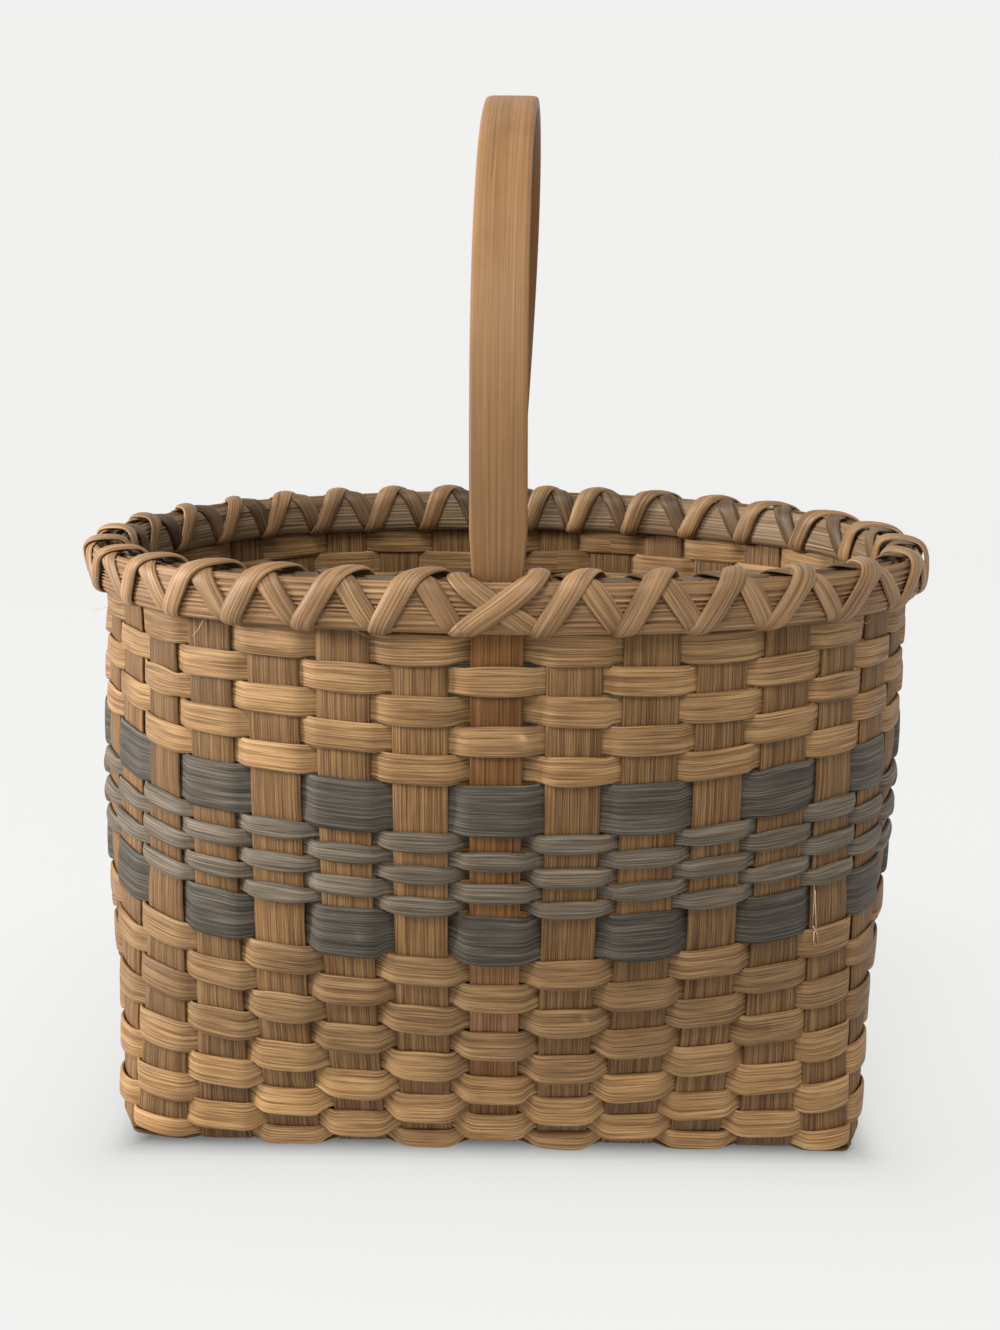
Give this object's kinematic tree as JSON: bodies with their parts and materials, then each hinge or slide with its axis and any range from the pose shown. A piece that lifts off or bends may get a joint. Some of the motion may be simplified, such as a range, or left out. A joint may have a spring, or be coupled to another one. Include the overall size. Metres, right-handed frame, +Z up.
{
  "type": "splint basket",
  "caption": "Woven splint basket with an oblong base, an oval lashed rim, a dyed band round the wall and a fixed hoop handle.",
  "frame": {"origin": "on the floor under the middle of the base", "axes": "+Z up, +X along the length of the base, -Y to the front"},
  "size_m": [0.3204, 0.2644, 0.3704],
  "materials": {
    "stake": "grained split wood, matt",
    "middle_stake": "reddish grained split wood, matt",
    "natural_splint": "split wood, low sheen",
    "dyed_splint": "split wood dyed grey, matt",
    "rim": "ridged reed, low sheen",
    "lashing": "split cane, low sheen",
    "handle": "bent hardwood, low sheen"
  },
  "bodies": {
    "root": {"cross_stake_01": "stake", "cross_stake_02": "stake", "cross_stake_03": "stake", "cross_stake_04": "stake", "cross_stake_05": "stake", "cross_stake_06": "middle_stake", "cross_stake_07": "stake", "cross_stake_08": "stake", "cross_stake_09": "stake", "cross_stake_10": "stake", "cross_stake_11": "stake", "long_stake_01": "stake", "long_stake_02": "stake", "long_stake_03": "stake", "long_stake_04": "stake", "long_stake_05": "stake", "long_stake_06": "stake", "long_stake_07": "stake", "weaver_01": "natural_splint", "weaver_02": "natural_splint", "weaver_03": "natural_splint", "weaver_04": "natural_splint", "weaver_05": "natural_splint", "weaver_06": "dyed_splint", "weaver_07": "dyed_splint", "weaver_08": "dyed_splint", "weaver_09": "dyed_splint", "weaver_10": "dyed_splint", "weaver_11": "dyed_splint", "weaver_12": "dyed_splint", "weaver_13": "natural_splint", "weaver_14": "natural_splint", "weaver_15": "natural_splint", "weaver_16": "natural_splint", "weaver_17": "natural_splint", "weaver_18": "natural_splint", "weaver_19": "natural_splint", "weaver_20": "natural_splint", "weaver_21": "natural_splint", "rim_row": "natural_splint", "outer_rim": "rim", "inner_rim": "rim", "lashing_first_pass": "lashing", "lashing_second_pass": "lashing", "handle": "handle"}
  },
  "joints": []
}
